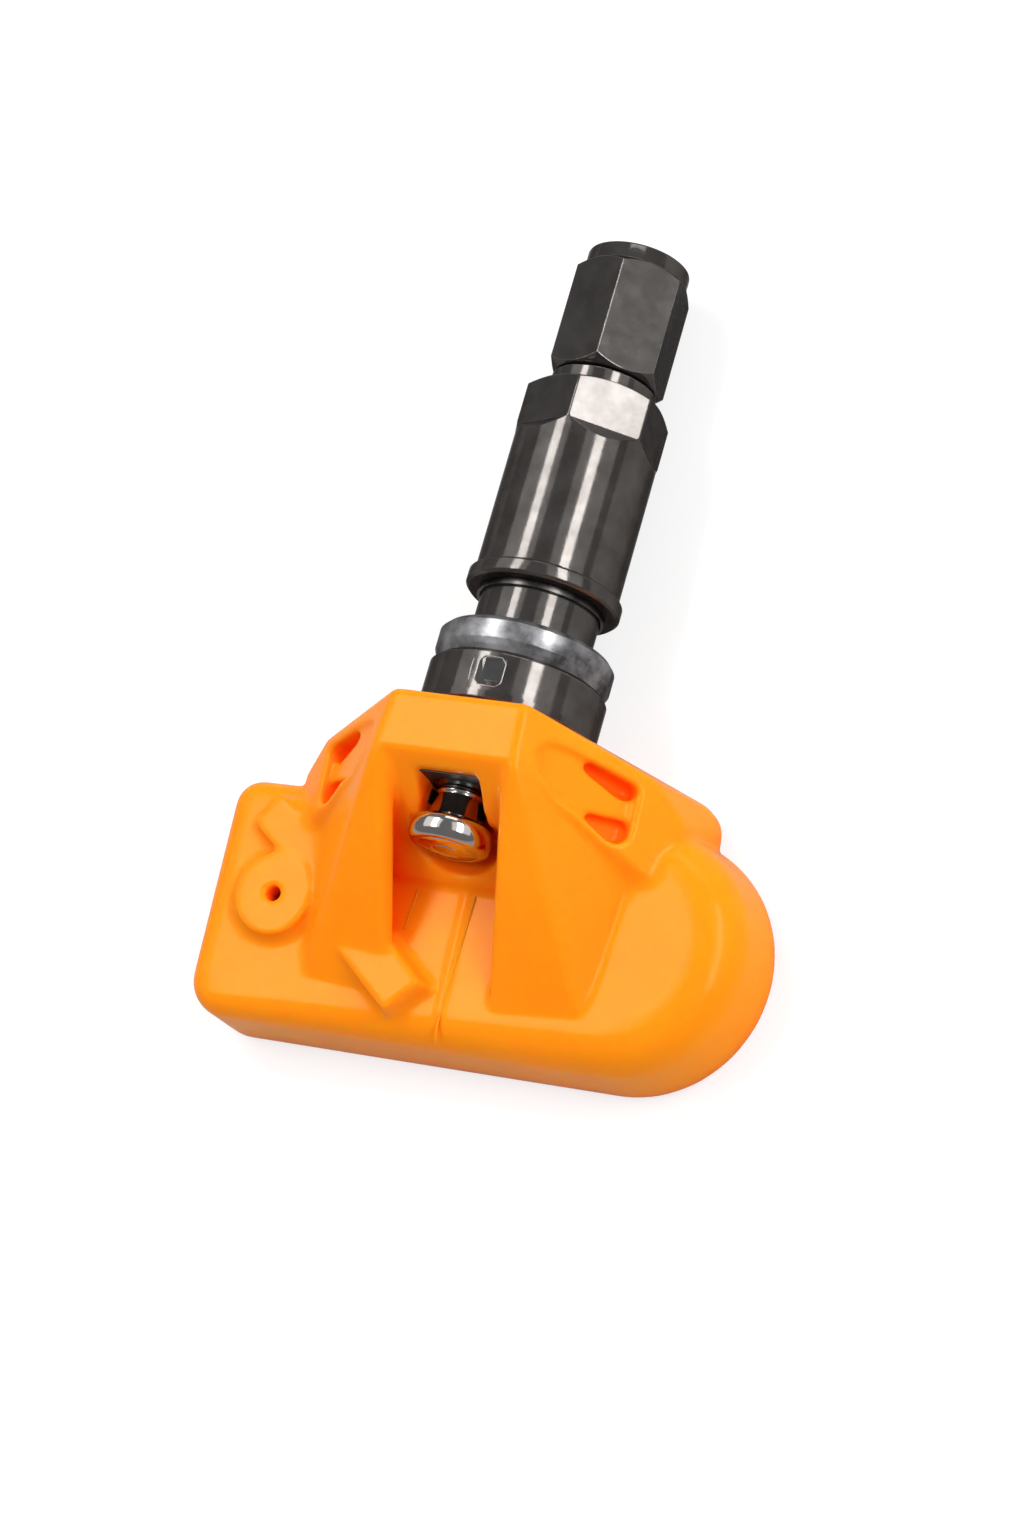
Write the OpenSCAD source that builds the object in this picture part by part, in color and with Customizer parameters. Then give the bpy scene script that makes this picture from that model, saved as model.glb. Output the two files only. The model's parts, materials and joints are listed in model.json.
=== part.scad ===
// Tyre pressure sensor with a clamp-in metal valve.
// Frame: origin on the valve axis at the face that seats on the wheel rim.
// +X across the housing, +Y toward the valve mouth, +Z up. It lies on its back.

/* [Attitude] */
// Lean of the valve toward the housing's back, degrees
lean = 6; // [0:0.5:12]
// Height of the valve axis over the back at the stem's base
axis_h = 9; // [8.6:0.1:11]
// Running gap between the stem's base and the housing roof
roof_gap = 0.7; // [0.6:0.05:1.2]

/* [Housing] */
// Tray length left of the valve axis
tray_left = 26.3; // [24:0.1:32]
// Tray depth below the stem's base
tray_low = 30; // [28:0.2:34]
// Shoulder of the tray below the stem's base, on the left
tray_top = 6.8; // [6:0.1:9]
// Height of the tray's front face over the back
tray_h = 9.5; // [9:0.1:12]
// Left edge of the round battery bay, right of the valve axis
bay_left = 3.2; // [2.8:0.1:5]
// Soft edge of the tray's front face
edge_r = 2.2; // [1:0.1:3]
// Soft edge of the battery bay's front face
dome_r = 4; // [2:0.1:4.2]
// Wall of the moulded front shell
wall = 1.5; // [1.2:0.1:2]
// Thickness of the back cover
cover_t = 1.6; // [1.2:0.1:2]
// Height of the yoke's front facet over the back
yoke_h = 20.2; // [19.4:0.1:23]
// Half width of the front facet at its fold
facet_w = 7.4; // [6.6:0.1:9]
// Drop of the facet's fold below the stem's base
fold_y = 4.7; // [4.2:0.1:5.6]
// Half width of the yoke over its wings
wing_w = 19.6; // [18:0.1:22]
// Slope of the yoke's side planes, degrees
wing_slope = 45; // [40:0.5:48]
// Depth of the pockets in the wings
pocket_d = 2.4; // [1:0.1:3]
// Lower end of the channel's front wall
ledge_y = 14.9; // [14.5:0.1:16.5]
// Height of the front wall's lower end over the back
ledge_h = 10.6; // [10.4:0.1:13]
// Half width of the window over the screw's cone
window_w = 3.1; // [3.05:0.05:3.4]
// Radius of the hollow round the screw's head
well_r = 4.5; // [4.4:0.05:4.8]
// Radius of the pressure port boss
boss_r = 3.9; // [3:0.1:4.4]
// Radius of the pressure port
port_r = 0.75; // [0.4:0.05:1]
// Height of the raised boss and bar over the front face
raise = 1.4; // [0.6:0.1:2]

/* [Valve] */
// Diameter of the stem's base ring
base_d = 16.7; // [15:0.1:17]
// Height of the base ring
base_h = 5; // [4.6:0.1:7]
// Step from the base ring to the rim seal
seal_step = 0.1; // [0:0.05:0.4]
// Height of the rim seal
seal_h = 3.3; // [2.5:0.1:4]
// Neck diameter, for the hole in the wheel rim
neck_d = 11.3; // [11.1:0.05:11.5]
// Length of the neck above the rim seal
neck_l = 7; // [6:0.1:8]
// Diameter of the stem's outer thread
thread_d = 10; // [9.6:0.1:10.2]
// Diameter of the valve mouth
mouth_d = 7.7; // [7.5:0.05:8]
// Height of the valve mouth over the rim seal
mouth_h = 37.2; // [36.6:0.1:37.6]
// Height of the nut's flange over the rim seal
nut_y = 4.6; // [3.8:0.1:6]
// Diameter of the nut's flange
flange_d = 14.6; // [14:0.1:16]
// Wall of the nut's sleeve over the neck
sleeve_wall = 1.15; // [1.1:0.05:1.3]
// Length of the nut below its hexagon
sleeve_l = 15.7; // [13:0.1:16]
// Height of the nut's hexagon
nut_hex_l = 5.8; // [4:0.1:5.9]
// Wall of the nut's hexagon over the thread, at its flats
hex_wall = 1; // [0.9:0.05:1.2]
// Radial clearance of the threads and slip fits
fit = 0.08; // [0.05:0.01:0.1]
// Height of the slip ring below the nut
slip_h = 0.65; // [0.4:0.05:1]
// Width of the slip ring round the neck
slip_w = 0.35; // [0.25:0.05:0.6]
// Height of the cap's lower edge over the rim seal
cap_y = 27.6; // [27.5:0.1:28]
// Length of the cap's hexagon
cap_l = 10.9; // [10.6:0.1:12]
// Cap, across flats
cap_af = 10; // [9.6:0.1:11]
// Diameter of the cap's top collar
collar_d = 9.4; // [8:0.1:9.5]
// Height of the cap's top collar
collar_h = 1.4; // [0.6:0.1:2]

/* [Screw] */
// Shank diameter of the ball-headed screw
shank_d = 4.5; // [4:0.1:4.8]
// Diameter of the ball that seats in the roof
ball_d = 6.4; // [6.2:0.1:6.6]
// Distance of the ball's centre below the stem's base
ball_y = 5.5; // [5.2:0.1:5.8]
// Diameter of the screw's head
head_d = 7.8; // [7.4:0.1:7.8]
// Length of the screw below the ball's centre
head_l = 8; // [7.8:0.1:8.2]
// Distance of the screw's axis in front of the stem's axis
screw_off = 4.5; // [4.3:0.1:4.6]

/* [Electronics] */
// Diameter of the coin cell
cell_d = 20; // [19:0.1:20]
// Thickness of the coin cell
cell_t = 3.2; // [2.5:0.1:3.2]
// Thickness of the circuit board
board_t = 0.8; // [0.6:0.1:1]
// Side of the microcontroller
mcu_w = 6; // [5:0.1:6.4]
// Side of the pressure sensor
sensor_w = 5.2; // [4.6:0.1:5.6]
// Length of the receiving coil
coil_l = 11; // [9:0.1:11.4]
// Length of the antenna strip
antenna_l = 16; // [12:0.1:17]

/* [Hidden] */

e = 0.01;
fine = 64;
orange = "#ff9a28";
black = "#1c1c1e";
steel = "#c9cbd0";
brass = "#b79a55";

seat_t = base_h + seal_h;            // stem base to rim seat
seal_d = base_d - 2 * seal_step;
sleeve_d = neck_d + 2 * sleeve_wall;
nut_af = thread_d + 2 * hex_wall;    // across flats
cap_top = cap_y + cap_l + collar_h;  // end of the cap
cap_ac = cap_af / cos(30);
nut_turn = -88;                      // a corner of each hexagon faces nearly front
cap_turn = -82;
back_edge = 0.35;                    // bevel round the back cover's outer face
// Tilt at which a point at distance t along the valve axis and r below it touches the ground
function tilt_at(t, r) = atan((t * sin(lean) + r * cos(lean) - axis_h)
    / (t * cos(lean) - r * sin(lean) + tray_low - back_edge));
// It rests on the back cover's far edge and the lowest corner of the cap or the nut.
rest = max(tilt_at(seat_t + cap_y + cap_l, cap_ac / 2 * cos(8)),
    tilt_at(seat_t + nut_y + sleeve_l + nut_hex_l, sleeve_d / 2));
pitch = lean - rest;

cell_gap = 0.6;                      // between the coin cell and the wall of its bay
bay_r = cell_d / 2 + cell_gap + wall;
bay_x = bay_left + bay_r;
bay_y = bay_r - tray_low + 0.2;
boss = [-18.4, -18.1];
board_z = cover_t + 0.6;
board_top = board_z + board_t;
cell_z = board_top + 0.4;            // underside of the coin cell
cave_top = tray_h - wall;            // ceiling of the hollow
cave_mid = cell_z + cell_t + 0.3;    // its walls step in here, below the soft edge
cave_step = 1.1;
slot_s = 0.3;                        // side clearance of inner pieces

// Height of the roof's plane at height z, square to the valve axis
function roof_y(z) = (z - axis_h) * tan(lean) - roof_gap / cos(lean);
// Cylindrical surface position of the valve axis at distance t from the stem base
function axis_at(t) = [0, t * cos(lean), axis_h - t * sin(lean)];

// Places a piece drawn along +Z, from the rim seat, onto the valve axis.
module on_valve() { rotate([-90 - pitch, 0, 0]) children(); }

// Places a piece drawn over the housing's back, from the stem base, in the frame.
module on_housing() {
    rotate([rest, 0, 0]) translate(-axis_at(seat_t)) children();
}

// Housing coordinates, along the screw's axis from the stem base: +Z toward the valve.
module on_screw(t) {
    translate(axis_at(t)) rotate([-90 - lean, 0, 0]) translate([0, -screw_off, 0]) children();
}

// Disc with a drafted side and a soft upper edge: one corner of the tray.
module soft_disc(r, h, er, draft = 0.35) {
    rotate_extrude($fn = 48) intersection() {
        square([r + 1, h]);
        union() {
            polygon([[0, 0], [r, 0], [r - draft, h - er], [0, h - er]]);
            translate([r - draft - er, h - er]) circle(er, $fn = 32);
            square([r - draft - er, h]);
        }
    }
}

// Tray: two soft corners on the left run into the round battery bay.
module tray_form() {
    h = tray_h - cover_t;
    hull() {
        translate([bay_x, bay_y, cover_t]) soft_disc(bay_r, h, dome_r);
        translate([-tray_left + 2.9, -tray_top - 2.9, cover_t]) soft_disc(2.9, h, edge_r);
        translate([-tray_left + 3.9, -tray_low + 3.9, cover_t]) soft_disc(3.9, h, edge_r);
    }
}

module ball_at(p, r = 0.9) { translate(p) sphere(r, $fn = 24); }

// Yoke: front facet, wings that fall away to both sides, leaning roof.
module yoke_form() {
    r = 0.9;
    z0 = cover_t;
    fall = 1 / cos(wing_slope) * r;             // a ball's reach above its centre, on the slope
    function wing_z(x) = yoke_h - (x - facet_w) * tan(wing_slope) - fall;
    hull() for (s = [-1, 1]) {
        ball_at([s * (facet_w - r - 0.3), roof_y(yoke_h) - r, yoke_h - r - 0.4], r);
        ball_at([s * (facet_w - r), -fold_y, yoke_h - r], r);
        ball_at([s * (facet_w - r), -ledge_y + r, ledge_h - r], r);
        ball_at([s * (wing_w - 3.7), -3.6, wing_z(wing_w - 3.7)], r);
        ball_at([s * (wing_w - 1.3), -6.3, wing_z(wing_w - 1.3)], r);
        ball_at([s * (wing_w - 1.3), -12, wing_z(wing_w - 1.3)], r);
        translate([s * (wing_w - 2.9), roof_y(z0) - 3.7, z0]) cylinder(r = 2.9, h = e, $fn = 32);
        translate([s * (wing_w - r), -12, z0]) cylinder(r = r, h = e);
        translate([s * 8, roof_y(z0) - r, z0]) cylinder(r = r, h = e);
        translate([s * facet_w, -ledge_y + r, z0]) cylinder(r = r, h = e);
    }
}

// Cheek: wedge that carries the front facet down to the tray's front face.
module cheek_form(s) {
    r = 0.55;
    hull() {
        ball_at([s * (facet_w - 1.5), -fold_y, yoke_h - 0.9], r);
        ball_at([s * (facet_w - r), -fold_y - 0.8, yoke_h - r - 0.1], r);
        ball_at([s * (facet_w - 1.2), -14, 15.6], r);
        ball_at([s * (facet_w - 1.9), -24.9, tray_h - 0.2], r);
        ball_at([s * (facet_w + 1.6), -13.4, 15.5], r);
        ball_at([s * (facet_w + 6.0), -24.3, tray_h - 0.2], r);
        ball_at([s * (facet_w + 7.3), -12.6, tray_h + 0.4], r);
        ball_at([s * (facet_w + 6.5), -22.8, tray_h - 0.2], r);
    }
}

// Raised pad at the foot of the left cheek.
module pad_form() {
    hull() {
        translate([0, 0, tray_h + raise + 0.5]) linear_extrude(e) offset(r = 0.5) offset(delta = -0.5)
            polygon([[-6.1, -20.7], [-1.7, -24], [-4.1, -27], [-9.8, -22.6]]);
        translate([0, 0, tray_h - 0.6]) linear_extrude(e) offset(r = 0.5) offset(delta = -0.5)
            polygon([[-5.8, -19.8], [-0.5, -24.2], [-4.3, -27.9], [-11.3, -22.6]]);
    }
}

// Bar that runs from the upper left corner down into the left cheek.
module bar_form() {
    translate([-21.1, -10.2, tray_h - 1]) rotate([0, 0, -37]) linear_extrude(raise + 0.8)
        offset(r = 0.6, $fn = 24) translate([0.5, -1.3]) square([9, 2.6]);
}

// Boss round the pressure port, on a low wider foot.
module boss_form() {
    translate([boss.x, boss.y, tray_h - 1]) {
        cylinder(r = boss_r, h = raise + 1, $fn = fine);
        cylinder(r1 = boss_r + 1, r2 = boss_r + 0.3, h = 1.5, $fn = fine);
    }
}

// Frame of one side plane: +X down the slope, +Y toward the valve, +Z out.
module on_slope(s) {
    mirror([s < 0 ? 1 : 0, 0, 0]) translate([facet_w, 0, yoke_h])
        rotate([0, wing_slope, 0]) children();
}

// Recess in a side plane, to a depth, with a rounded outline.
module slope_cut(s, depth) {
    on_slope(s) translate([0, 0, -depth]) linear_extrude(depth + 4)
        offset(r = 0.4, $fn = 16) offset(delta = -0.4) children();
}

// Pocket in a wing: a shallow scoop, a deep slot along its top and a deep lower end.
module wing_pocket(s) {
    slope_cut(s, pocket_d * 0.4) polygon([[1.6, -3.7], [2.5, -2.4], [4.7, -2.5], [11.3, -3.9],
        [11.8, -4.3], [11.8, -8.8], [11, -9.5], [10, -9.4], [7, -7.9], [4.4, -7], [2.4, -5.3]]);
    slope_cut(s, pocket_d) polygon([[4.9, -2.6], [11.3, -3.9], [11.8, -4.3], [11.7, -5.3],
        [10.4, -5.3], [7, -4]]);
    slope_cut(s, pocket_d * 0.9) polygon([[7, -7.5], [11.8, -7.2], [11.8, -8.8], [11, -9.5],
        [10, -9.4], [8, -8.4]]);
}

// Hollow round the screw: seat of its ball, slot past its cone, round well for its head.
module screw_well() on_screw(0) {
    head_t = ball_y + head_l - 2.9;
    translate([0, 0, -ball_y]) cylinder(d = shank_d + 1, h = ball_y + 2, $fn = fine);
    intersection() {
        translate([0, 0, -ball_y]) sphere(ball_d / 2 + fit, $fn = fine);
        translate([0, 0, -ball_y - 2.4]) cylinder(r = ball_d, h = 8, $fn = fine);
    }
    translate([0, 0, -head_t - 0.5]) linear_extrude(head_t - ball_y - 1.35) {
        circle(window_w + 0.25, $fn = fine);
        translate([-window_w, -12]) square([2 * window_w, 12]);
    }
    translate([0, 0, -head_t]) mirror([0, 0, 1]) rotate_extrude($fn = fine) polygon([[0, 0],
        [well_r, 0], [well_r, 2.8], [well_r - 0.4, 3.7], [well_r - 1.3, 4.2], [0, 4.2]]);
}

// Outline of the hollow that holds the electronics, shrunk by g.
module hollow_outline(g) {
    w = wall + g;
    translate([-tray_left + w, -tray_low + w]) square([tray_left - 8 - 2 * g - wall, 20 - 2 * g]);
    translate([-tray_left + w, -tray_low + w]) square([tray_left + bay_x - cell_d / 2 - 2 * g, 12.4 - 2 * g]);
    translate([bay_x, bay_y]) circle(bay_r - w, $fn = fine);
}

module housing() color(orange) on_housing() difference() {
    union() {
        tray_form();
        yoke_form();
        cheek_form(1);
        cheek_form(-1);
        pad_form();
        bar_form();
        boss_form();
        // thin moulded line along the channel floor
        translate([0.15, -26.6, tray_h - 0.5]) cube([0.3, 11.6, 0.7]);
    }
    // hollow for the electronics
    translate([0, 0, cover_t - 1]) linear_extrude(cave_mid - cover_t + 1) hollow_outline(0);
    translate([0, 0, cave_mid - e]) linear_extrude(cave_top - cave_mid + e) hollow_outline(cave_step);
    screw_well();
    wing_pocket(1);
    wing_pocket(-1);
    // pressure port
    translate([boss.x, boss.y, cave_top - 1]) cylinder(r = port_r, h = wall + raise + 3, $fn = fine);
}

// Outline of the housing's back, shrunk by g, with its arcs in steps of n to a circle.
module back_outline(g, n) {
    hull() {
        translate([bay_x, bay_y]) circle(bay_r - g, $fn = n);
        translate([-tray_left + 2.9, -tray_top - 2.9]) circle(2.9 - g, $fn = n / 2);
        translate([-tray_left + 3.9, -tray_low + 3.9]) circle(3.9 - g, $fn = n / 2);
    }
}

// Foot of the yoke, as the back cover carries it.
module yoke_outline(g, n) {
    hull() for (s = [-1, 1]) {
        translate([s * (wing_w - 2.9), roof_y(0) - 3.7]) circle(2.9 - g, $fn = n / 2);
        translate([s * (wing_w - 0.9), -12]) circle(0.9 - g, $fn = n / 2);
        translate([s * 8, roof_y(0) - 0.9]) circle(0.9 - g, $fn = n / 2);
    }
}

// Back cover, bevelled round its outer face, with the rim that locates it and carries the board.
module back_cover() color(orange) on_housing() {
    for (yoke = [false, true]) hull() {
        translate([0, 0, back_edge]) linear_extrude(cover_t - back_edge)
            if (yoke) yoke_outline(0, 64); else back_outline(0, 96);
        linear_extrude(e) if (yoke) yoke_outline(back_edge, 20); else back_outline(back_edge, 20);
    }
    translate([0, 0, cover_t - e]) linear_extrude(board_z - cover_t + e) difference() {
        hollow_outline(0.1);
        hollow_outline(1);
    }
}

module circuit_board() color("#1f6b3a") on_housing()
    translate([0, 0, board_z]) linear_extrude(board_t) hollow_outline(slot_s);

module coin_cell() color(steel) on_housing()
    translate([bay_x, bay_y, cell_z]) rotate_extrude($fn = fine) difference() {
        square([cell_d / 2, cell_t]);
        translate([cell_d / 2 - 1.1, cell_t - 0.35]) square([2, 1]);
    }

tab_w = 2.4;
tab_t = 0.2;
tab_x = bay_x - cell_d / 2 - 1.1;    // leg of the upper contact strip, clear of the cell

// Welded contact strip over the cell, with a leg down to the board.
module battery_tab_top() color("#d8d4c4") on_housing() translate([tab_x, bay_y - 3.4, board_top]) {
    translate([0, 0, cell_z + cell_t - board_top]) cube([cell_d / 2 + 1.1, tab_w, tab_t]);
    cube([tab_t, tab_w, cell_z + cell_t - board_top + tab_t]);
    translate([-1.2, 0, 0]) cube([1.2 + tab_t, tab_w, tab_t]);
}

// Contact strip under the cell.
module battery_tab_bottom() color("#d8d4c4") on_housing() translate([bay_x, bay_y, board_top]) {
    translate([-cell_d / 4, -1.5, 0]) cube([cell_d * 0.55, 3, tab_t]);
    translate([-cell_d * 0.15, -1.5, tab_t]) cube([cell_d * 0.35, 3, cell_z - board_top - tab_t]);
}

sensor_h = 2.2;
module pressure_sensor() color("#3a3a3e") on_housing() translate([boss.x, boss.y, board_top])
    difference() {
        translate([-sensor_w / 2, -sensor_w / 2, 0]) cube([sensor_w, sensor_w, sensor_h]);
        translate([0, 0, sensor_h - 0.7]) cylinder(r = 1, h = 1, $fn = fine);
    }

// Soft ring that joins the sensor to the pressure port.
module port_gasket() color("#8a8f96") on_housing()
    translate([boss.x, boss.y, board_top + sensor_h]) difference() {
        cylinder(r = sensor_w / 2 - 0.4, h = cave_top - board_top - sensor_h, $fn = fine);
        translate([0, 0, -1]) cylinder(r = port_r + 0.35, h = 8, $fn = fine);
    }

module microcontroller() color("#26262a") on_housing()
    translate([-mcu_w - 0.5, -tray_low + wall + 2, board_top]) cube([mcu_w, mcu_w, 0.9]);

module crystal() color(steel) on_housing()
    translate([-mcu_w - 5.6, -tray_low + wall + 2.1, board_top]) cube([3.2, 2.5, 0.8]);

module capacitors() color("#b08a5c") on_housing()
    for (p = [[-mcu_w - 5.4, -21.8], [-mcu_w - 5.4, -19.6], [-mcu_w - 5.4, -17.4],
            [-tray_left + wall + 1.2, -13]])
        translate([p.x, p.y, board_top]) cube([2, 1.2, 1.1]);

// Low-frequency receiving coil: ferrite core with end flanges, and its winding.
module on_coil(x, y, z) {
    on_housing() translate([-tray_left + wall + 0.8 + x, -tray_low + wall + 1.3 + y, board_top + z])
        children();
}
module coil_core() color("#3c3c40") {
    on_coil(0, 1, 0.9) cube([coil_l, 1.6, 1.2]);
    for (x = [0, coil_l - 1.6]) on_coil(x, 0, 0) cube([1.6, 3.6, 2.9]);
}

module coil_winding() color("#b8642c") on_coil(1.7, 0.4, 0.3) difference() {
    cube([coil_l - 3.4, 2.8, 2.4]);
    translate([-1, 0.55, 0.55]) cube([coil_l, 1.7, 1.3]);
}

// Bent strip that radiates the signal.
module antenna() color("#d8d4c4") on_housing()
    translate([6 - antenna_l, -tray_low + wall + slot_s + 0.3, board_top]) {
        for (x = [0, antenna_l - 1.4]) translate([x, 0, 0]) cube([1.4, 0.5, 3.2]);
        translate([0, 0, 3.2]) cube([antenna_l, 0.5, 0.6]);
    }

// One-piece stem: base ring, neck, outer thread and mouth, drilled through.
module valve_stem() color(black) on_valve() difference() {
    union() {
        translate([0, 0, -seat_t]) rotate_extrude($fn = fine) polygon([[0, 0],
            [base_d / 2 - 0.5, 0], [base_d / 2 - 0.15, 0.3], [base_d / 2, 0.9],
            [base_d / 2, base_h - 0.4], [base_d / 2 - 0.4, base_h], [0, base_h]]);
        translate([0, 0, -seal_h - 1]) cylinder(d = neck_d, h = seal_h + 1 + neck_l, $fn = fine);
        translate([0, 0, neck_l - 1]) cylinder(d = thread_d, h = stem_end - neck_l + 1, $fn = fine);
        translate([0, 0, stem_end]) cylinder(d1 = thread_d, d2 = mouth_d, h = 0.5, $fn = fine);
        translate([0, 0, stem_end]) cylinder(d = mouth_d, h = mouth_h - stem_end - 0.4, $fn = fine);
        translate([0, 0, mouth_h - 0.4])
            cylinder(d1 = mouth_d, d2 = mouth_d - 0.8, h = 0.4, $fn = fine);
    }
    translate([0, 0, core_y]) cylinder(d = bore_d, h = 40, $fn = fine);
    translate([0, 0, core_y - 0.8]) cylinder(d1 = seat_d, d2 = bore_d, h = 0.8 + e / 2, $fn = fine);
    translate([0, 0, core_y - 11]) cylinder(d = seat_d, h = 12, $fn = fine);
    translate([0, 0, -seat_t - 1]) cylinder(d = 2.4, h = 31, $fn = fine);
    // threaded hole for the ball-headed screw, in front of the bore
    translate([0, -screw_off, -seat_t - 1]) cylinder(d = shank_d + 2 * fit, h = screw_in + 1, $fn = fine);
    // dimple on the front of the base ring
    rotate([0, 0, -81]) translate([base_d / 2 - 0.35, -0.95, -seal_h - 3.1])
        cube([2, 1.9, 2.1]);
}

screw_in = 3.6;                     // depth of the screw in the stem
stem_end = nut_y + sleeve_l + nut_hex_l + 0.7;
bore_d = 5.3;
seat_d = 3.7;
core_y = 33;                        // shoulder under the core's plug

// Rubber ring between the base ring and the wheel rim.
module rim_seal() color("#4a4a4c") on_valve() translate([0, 0, -seal_h])
    rotate_extrude($fn = fine) polygon([[neck_d / 2, 0], [seal_d / 2 - 0.5, 0],
        [seal_d / 2 - 0.25, 0.5], [seal_d / 2, 1.1], [seal_d / 2, seal_h - 0.5],
        [seal_d / 2 - 0.45, seal_h], [neck_d / 2, seal_h]]);

// Polished screw: shank, ball, waist, cone and banded head.
module ball_screw() color(steel) on_valve() translate([0, -screw_off, -seat_t - ball_y])
    difference() {
        union() {
            cylinder(d = shank_d, h = ball_y + screw_in - 0.3, $fn = fine);
            intersection() {
                sphere(d = ball_d, $fn = fine);
                translate([0, 0, -2.2]) cylinder(d = ball_d + 1, h = 4.2, $fn = fine);
            }
            mirror([0, 0, 1]) rotate_extrude($fn = fine) polygon([[0, 0], [2.2, 0], [2.2, 2.5],
                [2.65, 2.9], [3, head_l - 2.9], [head_d / 2 - 0.35, head_l - 2.5],
                [head_d / 2 - 0.05, head_l - 2.1], [head_d / 2, head_l - 1.6],
                [head_d / 2 - 0.1, head_l - 1], [head_d / 2 - 0.45, head_l - 0.35],
                [head_d / 2 - 1.2, head_l - 0.08], [0, head_l]]);
        }
        translate([0, 0, -head_l - 1]) cylinder(d = 2.2, h = 1.35, $fn = fine);
    }

// Screwed-in plug at the top of the valve core.
module core_plug() color(brass) on_valve() translate([0, 0, core_y]) difference() {
    cylinder(d = bore_d - 2 * fit, h = 3.2, $fn = fine);
    translate([0, 0, -1]) cylinder(d = 2, h = 6, $fn = fine);
    translate([-4, -0.5, 2.4]) cube([8, 1, 2]);
}

// Barrel that hangs from the plug and guides the pin.
barrel_l = 5.4;
module core_barrel() color(brass) on_valve() translate([0, 0, core_y - barrel_l]) difference() {
    cylinder(d = 3.3, h = barrel_l, $fn = fine);
    translate([0, 0, 0.8]) cylinder(d = 2.5, h = barrel_l, $fn = fine);
    translate([0, 0, -1]) cylinder(d = 1.8, h = 4, $fn = fine);
}

// Tapered packing that seals the barrel in the stem.
module core_gasket() color("#b03028") on_valve() translate([0, 0, core_y - 0.75])
    difference() {
        cylinder(d1 = seat_d - 0.1, d2 = bore_d - 0.3, h = 0.75, $fn = fine);
        translate([0, 0, -1]) cylinder(d = 3.32, h = 3, $fn = fine);
    }

// Pin: pressed inward to let air in, held shut by its spring.
pin_top = mouth_h - 0.3;
module core_pin() color(brass) on_valve() {
    b = core_y - barrel_l;
    translate([0, 0, b - 2]) cylinder(d = 1, h = pin_top - b + 2, $fn = fine);
    translate([0, 0, b - 2]) cylinder(d = 2.8, h = 1.3, $fn = fine);
    translate([0, 0, b + 4.2]) cylinder(d = 2.1, h = 0.5, $fn = fine);
}

// Soft washer on the pin's foot.
module core_seat_seal() color("#262626") on_valve()
    translate([0, 0, core_y - barrel_l - 0.7]) difference() {
        cylinder(d = 2.8, h = 0.68, $fn = fine);
        translate([0, 0, -1]) cylinder(d = 1, h = 3, $fn = fine);
    }

// Coil spring round the pin, between the barrel's foot and the pin's collar.
function coil_pt(a, r, z0, rise) = [r * cos(a), r * sin(a), z0 + rise * a / 360];
module coil_spring(r, wire, z0, length, turns) {
    seg = 14;
    n = seg * turns;
    m = 6;
    pts = [for (i = [0:n]) let (a = 360 * i / seg, c = coil_pt(a, r, z0, length / turns))
        for (j = [0:m - 1]) let (b = 360 * j / m)
            c + wire / 2 * [cos(b) * cos(a), cos(b) * sin(a), sin(b)]];
    sides = [for (i = [0:n - 1]) for (j = [0:m - 1]) let (k = (j + 1) % m)
        [i * m + j, (i + 1) * m + j, (i + 1) * m + k, i * m + k]];
    polyhedron(pts, concat(sides, [[for (j = [0:m - 1]) j]],
        [[for (j = [0:m - 1]) n * m + m - 1 - j]]), convexity = 6);
}

module core_spring() color(steel) on_valve()
    coil_spring(0.88, 0.26, core_y - barrel_l + 0.98, 3.06, 6);

// Slip ring that stays still on the rim while the nut turns.
module slip_ring() color(steel) on_valve() translate([0, 0, nut_y - slip_h]) difference() {
    cylinder(d = neck_d + 2 * slip_w, h = slip_h, $fn = fine);
    translate([0, 0, -1]) cylinder(d = neck_d + 2 * fit, h = slip_h + 2, $fn = fine);
}

// Hexagon with turned ends: prism within a revolved envelope.
module turned_hex(af, h, r_end, chamfer, turn) {
    ac = af / cos(30);
    rise = (ac / 2 - r_end) * tan(chamfer);
    intersection() {
        rotate([0, 0, turn]) cylinder(d = ac, h = h, $fn = 6);
        rotate_extrude($fn = fine) polygon([[0, 0], [r_end, 0], [ac / 2 + e, rise],
            [ac / 2 + e, h - rise], [r_end, h], [0, h]]);
    }
}

module clamp_nut() color(black) on_valve() translate([0, 0, nut_y]) difference() {
    union() {
        rotate_extrude($fn = fine) polygon([[0, 0], [flange_d / 2 - 0.3, 0],
            [flange_d / 2, 0.3], [flange_d / 2, 1.3], [flange_d / 2 - 0.25, 1.55],
            [sleeve_d / 2 - 0.25, 1.7], [sleeve_d / 2 - 0.25, 2.2], [sleeve_d / 2, 2.45],
            [sleeve_d / 2, sleeve_l], [nut_af / 2 - 0.1, sleeve_l + 1.2], [0, sleeve_l + 1.2]]);
        // hexagon with its corners turned to the sleeve, and a chamfered end
        translate([0, 0, sleeve_l - 0.5]) intersection() {
            rotate([0, 0, nut_turn]) cylinder(d = nut_af / cos(30), h = nut_hex_l + 0.5, $fn = 6);
            rotate_extrude($fn = fine) polygon([[0, 0], [sleeve_d / 2, 0],
                [sleeve_d / 2, nut_hex_l - 0.1], [nut_af / 2 - 0.15, nut_hex_l + 0.5],
                [0, nut_hex_l + 0.5]]);
        }
    }
    translate([0, 0, -1]) cylinder(r = thread_d / 2 + fit, h = 40, $fn = fine);
    translate([0, 0, -1]) cylinder(r = neck_d / 2 + fit, h = neck_l + 1.4, $fn = fine);
}

// Sealing disc inside the cap.
module cap_seal() color("#262626") on_valve() translate([0, 0, mouth_h + 0.02])
    cylinder(r = mouth_d / 2 - 0.1, h = 0.9, $fn = fine);

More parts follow.
